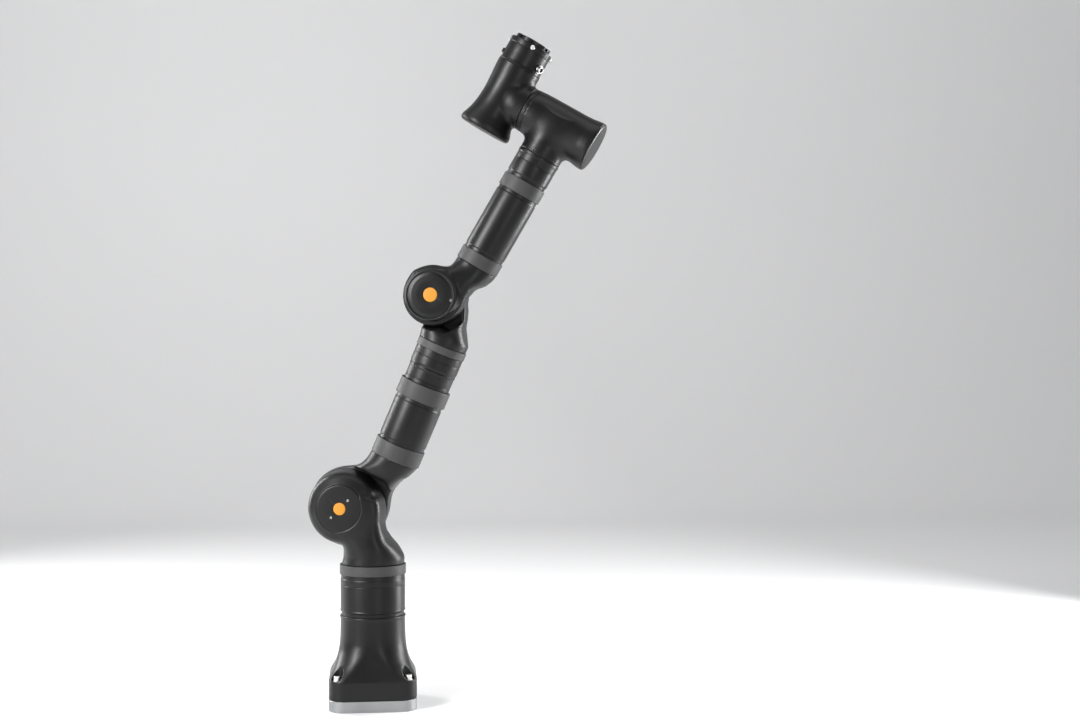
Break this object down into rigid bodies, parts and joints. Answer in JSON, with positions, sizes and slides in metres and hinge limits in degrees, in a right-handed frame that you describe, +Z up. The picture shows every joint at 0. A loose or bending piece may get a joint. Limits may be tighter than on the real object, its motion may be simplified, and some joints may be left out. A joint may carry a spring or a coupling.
{
  "type": "collaborative robot arm",
  "caption": "Seven-axis collaborative robot arm: round-square foot, black cast joint housings, grey clamp bands, straight tubes, folding shoulder and elbow, turning wrist and ISO tool flange.",
  "frame": {"origin": "centre of the mounting plate's underside, on the axis of the first joint", "axes": "+Z up along the first joint's axis; +X to the right and +Y to the rear of the foot, square with the mounting plate's sides; the arm leans to +X"},
  "size_m": [0.5463, 0.2319, 1.2347],
  "materials": {
    "housing_black": "satin black coat",
    "band_grey": "matt mid-grey coat",
    "disc_orange": "satin orange",
    "screw_steel": "bright zinc",
    "plate_aluminium": "fine milled",
    "gasket_rubber": "matt",
    "connector_metal": "nickel",
    "tool_face_metal": "machined, dark anodised",
    "button_plastic": "matt",
    "panel_black": "matt",
    "drive_steel": "machined",
    "hub_aluminium": "machined"
  },
  "bodies": {
    "base": {"mounting_plate": "plate_aluminium", "base_gasket": "gasket_rubber", "base_housing": "housing_black", "base_screws": "screw_steel", "base_washers": "screw_steel", "base_connector_panel": "panel_black", "base_connectors": "connector_metal", "j1_drive": "drive_steel"},
    "shoulder": {"j1_output": "hub_aluminium", "shoulder_joint_sleeve": "housing_black", "shoulder_band": "band_grey", "shoulder_housing": "housing_black", "shoulder_cap": "housing_black", "shoulder_cap_disc": "disc_orange", "shoulder_cap_screws": "screw_steel", "j2_drive": "drive_steel"},
    "upper_arm": {"j2_output": "hub_aluminium", "upper_arm_housing": "housing_black", "upper_arm_lower_band": "band_grey", "upper_arm_tube": "housing_black", "upper_arm_upper_band": "band_grey", "upper_arm_joint_housing": "housing_black", "upper_arm_cap": "housing_black", "upper_arm_cap_disc": "disc_orange", "upper_arm_cap_screws": "screw_steel", "j3_drive": "drive_steel"},
    "elbow": {"j3_output": "hub_aluminium", "elbow_joint_sleeve": "housing_black", "elbow_band": "band_grey", "elbow_housing": "housing_black", "elbow_cap": "housing_black", "elbow_cap_disc": "disc_orange", "elbow_cap_screws": "screw_steel", "j4_drive": "drive_steel"},
    "forearm": {"j4_output": "hub_aluminium", "forearm_housing": "housing_black", "forearm_lower_band": "band_grey", "forearm_tube": "housing_black", "forearm_upper_band": "band_grey", "forearm_joint_housing": "housing_black", "forearm_cap": "housing_black", "forearm_cap_disc": "disc_orange", "forearm_cap_screws": "screw_steel", "j5_drive": "drive_steel"},
    "wrist_1": {"j5_output": "hub_aluminium", "wrist_1_housing": "housing_black", "wrist_1_lid": "housing_black", "wrist_1_lid_screws": "screw_steel", "j6_drive": "drive_steel"},
    "wrist_2": {"j6_output": "hub_aluminium", "wrist_2_housing": "housing_black", "wrist_2_lid": "housing_black", "wrist_2_lid_screws": "screw_steel", "j7_drive": "drive_steel"},
    "tool_flange": {"j7_output": "hub_aluminium", "tool_flange_body": "housing_black", "tool_face": "tool_face_metal", "tool_face_screws": "screw_steel", "tool_connector": "connector_metal", "tool_button": "button_plastic"}
  },
  "joints": [
    {"name": "j1_base_turn", "type": "hinge", "parent": "base", "child": "shoulder", "pos_m": [0, 0, 0.166], "axis": [0, 0, 1], "range_deg": [-360, 360]},
    {"name": "j2_shoulder_fold", "type": "hinge", "parent": "shoulder", "child": "upper_arm", "pos_m": [-0.04636, 0.01242, 0.365], "axis": [-0.2588, -0.9659, 0], "range_deg": [-46.7, 178.3]},
    {"name": "j3_upper_arm_turn", "type": "hinge", "parent": "upper_arm", "child": "elbow", "pos_m": [0.10963, -0.02938, 0.61991], "axis": [0.3821, -0.1024, 0.9184], "range_deg": [-360, 360]},
    {"name": "j4_elbow_fold", "type": "hinge", "parent": "elbow", "child": "forearm", "pos_m": [0.11601, -0.03109, 0.75534], "axis": [0.2588, 0.9659, 0], "range_deg": [-157.2, 42.8]},
    {"name": "j5_forearm_turn", "type": "hinge", "parent": "forearm", "child": "wrist_1", "pos_m": [0.30207, -0.08094, 1.00747], "axis": [0.4902, -0.1314, 0.8616], "range_deg": [-360, 360]},
    {"name": "j6_wrist_turn", "type": "hinge", "parent": "wrist_1", "child": "wrist_2", "pos_m": [0.28018, -0.07507, 1.09509], "axis": [0.8323, -0.223, -0.5075], "range_deg": [-360, 360]},
    {"name": "j7_flange_turn", "type": "hinge", "parent": "wrist_2", "child": "tool_flange", "pos_m": [0.26617, -0.07132, 1.17095], "axis": [0.4902, -0.1314, 0.8616], "range_deg": [-360, 360]}
  ]
}
